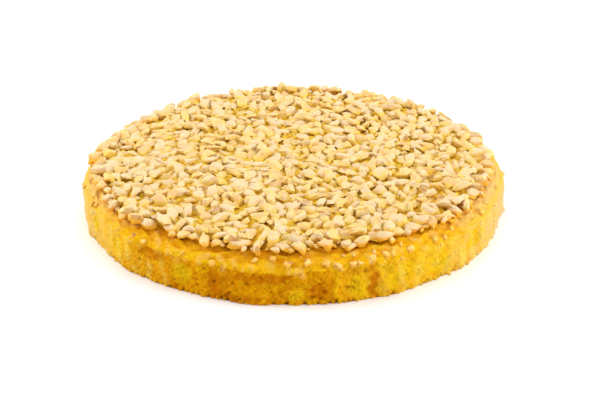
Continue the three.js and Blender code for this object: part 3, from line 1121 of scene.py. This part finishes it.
nutLayers = (
    ("yellow", "varied", (1.6, 1.85)),
    ("cream", "varied", (1.8, 2.1)),
    ("tan", "speck", (0.56, 0.75, 0, 0.45)),
    ("husk", "frayed", (0.45, 0.75, 0, 0.9)),
    # painted golden shade down the flanks, more near the rim
    ("shade", "flankShade", (0.1, 0.8, 0, 0.85), "outer"),
    # painted shade low in the gaps
    ("shade", "sunk", (0.1, 0.9, 0, 0.95)),
)
nutTexture = {
    "fine": (260, 1300, 3),
    "coarse": (130, 480, 2),
    "cloudShare": 1.7,
    "fleckShare": 1.3,
    "fray": 0.35,
    "blotchHeight": 3.0,
    "roughness": (0.55, 0.75),
    "gloss": 0.15,
    "bump": 0.45,
    "bumpDepth": 1 * mm,
    "glow": 0.2,  # light that passes under the surface
    "glowColour": (1.0, 0.75, 0.3),
    "glowReach": 2 * mm,
}


def nutMaterial(name, c, p):
    # flesh by tone, brown skin with a frayed edge, and painted golden shade down the flanks and in the gaps
    material, tree, shader = newMaterial(name)
    k = attributesOf(tree, ("tone", "skin", "sunk", "flankShade", "rim"))
    blotch, speck = placeMottle(tree, *p["fine"])
    cloud, fleck = placeMottle(tree, *p["coarse"])
    varied = mathOf(tree, "MULTIPLY_ADD", cloud, p["cloudShare"], k.tone)
    k.varied = mathOf(tree, "MULTIPLY_ADD", fleck, p["fleckShare"], varied)
    k.speck = speck
    k.frayed = mathOf(tree, "ADD", k.skin, ramp(tree, speck, 0.2, 0.8, -p["fray"], p["fray"]))
    # painted flank shade grows towards the rim
    k.outer = ramp(tree, k.rim, 0.0, 0.8, 0.7, 1)
    mixed = dict(c)
    mixed["husk"] = cover(tree, c["skinLight"], c["skinDark"], ramp(tree, blotch, 0.35, 0.7))
    # painted shade: lighter inside the topping, amber towards the rim
    mixed["shade"] = cover(tree, c["innerShade"], c["amber"], ramp(tree, k.rim, 0.1, 0.9))
    body = paint(tree, c["tan"], k, mixed, nutLayers)
    shader.inputs["Subsurface Weight"].default_value = p["glow"]
    shader.inputs["Subsurface Radius"].default_value = p["glowColour"]
    shader.inputs["Subsurface Scale"].default_value = p["glowReach"]
    height = mathOf(tree, "MULTIPLY_ADD", blotch, p["blotchHeight"], speck)
    finishSurface(tree, shader, body, blotch, height, p)
    return material


# stage

view = {
    "target": (4.1 * mm, 0.0, 0.5 * mm),
    "distance": 0.8,
    "elevation": 26.0,
    "focalPixels": 1266,
    "framePixels": 600,
    "sensor": 36.0,
    "clip": (0.01, 50),
}
lamps = {
    "above": {"place": (0.1, 0.35, 1.25), "aim": (0, 0, 0), "size": 1.6, "watts": 6.2},
    "left": {"place": (-1.2, 0.1, 0.5), "aim": (0, 0, 0.02), "size": 1.0, "watts": 11},
    "right": {"place": (1.15, -0.3, 0.5), "aim": (0, 0, 0.02), "size": 1.0, "watts": 10.8},
}
world = {"colour": (1.0, 1.0, 1.0), "strength": 0.79}
floorLook = {"half": 4.0, "colour": (0.93, 0.93, 0.935), "roughness": 0.8}


def makeCamera(p):
    # the camera looks from -Y at the target, with the focal length fitted in the photograph's pixels
    data = bpy.data.cameras.new("camera")
    data.sensor_width = p["sensor"]
    data.lens = p["focalPixels"] / p["framePixels"] * p["sensor"]
    data.clip_start, data.clip_end = p["clip"]
    camera = bpy.data.objects.new("camera", data)
    tilt = math.radians(p["elevation"])
    x, y, z = p["target"]
    camera.location = (x, y - p["distance"] * math.cos(tilt), z + p["distance"] * math.sin(tilt))
    camera.rotation_euler = (math.pi / 2 - tilt, 0, 0)
    scene.collection.objects.link(camera)
    scene.camera = camera


def makeLamps(p):
    # round area lamps, each turned to face its aim
    for name, lamp in p.items():
        data = bpy.data.lights.new(name, "AREA")
        data.shape = "DISK"
        data.size = lamp["size"]
        data.energy = lamp["watts"]
        made = bpy.data.objects.new(name, data)
        made.location = lamp["place"]
        aim = Vector(lamp["aim"]) - Vector(lamp["place"])
        made.rotation_euler = aim.to_track_quat("-Z", "Y").to_euler()
        scene.collection.objects.link(made)


def makeWorld(p):
    sky = bpy.data.worlds.new("studio")
    sky.use_nodes = True
    background = sky.node_tree.nodes["Background"]
    background.inputs["Color"].default_value = (*p["colour"], 1)
    background.inputs["Strength"].default_value = p["strength"]
    scene.world = sky


def makeFloor(p):
    # one square at z = 0
    material, _, shader = newMaterial("pale_floor")
    shader.inputs["Base Color"].default_value = (*p["colour"], 1)
    shader.inputs["Roughness"].default_value = p["roughness"]
    h = p["half"]
    corners = np.array([[-h, -h, 0], [h, -h, 0], [h, h, 0], [-h, h, 0]])
    floor = meshObject("floor", corners, np.array([[0, 1, 2, 3]]), np.zeros((0, 3), int), {}, material)


makeCamera(view)
makeLamps(lamps)
makeWorld(world)
makeFloor(floorLook)
scene.view_settings.view_transform = "Standard"
print("stage ready")

crust = spongeMaterial(spongeColours, spongeLayers, spongeTexture)
cake = makeSponge(sponge, spongeWaves, nuts, crust)
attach(cake, "root")
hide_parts("sponge")
print("sponge:", len(cake.data.polygons), "faces")

flesh, toasted, grit = [nutMaterial(name, colours, nutTexture) for name, colours in nutColours.items()]
field = joinPieces(fieldNuts(nuts), edgeNuts(nuts, sponge))
nested = nestNuts(nesting, nuts, field)
filled = fillNuts(filling, nuts, joinPieces(field, nested))
coarse = bitsOnShoulder(coarseBits, bits, nuts, sponge)
fine = bitsOnShoulder(fineBits, bits, nuts, sponge)
# pieces, grid, material, seed, share with brown skin, 1 where they lie in the bed and take painted gap shade
layers = {
    "nut_chunks": (field, "grid", flesh, 41, 0.08, 1),
    "nut_nested": (nested, "grid", flesh, 61, 0.08, 1),
    "nut_fill": (filled, "smallGrid", flesh, 51, 0.08, 1),
    "shoulder_bits": (coarse, "grid", toasted, 71, 0.1, 0),
    "shoulder_crumbs": (fine, "smallGrid", toasted, 81, 0.1, 0),
}
for name, layer in layers.items():
    made = chunkMesh(name, *layer)
    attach(made, "root")
    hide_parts("sponge" if name.startswith("shoulder") else "nut_topping")
    print(name, len(layer[0]["size"]), "pieces,", len(made.data.polygons), "faces")

under = makeBed(bed, nuts, grit)
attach(under, "root")
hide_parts("nut_topping")
print("bed:", len(under.data.polygons), "faces")
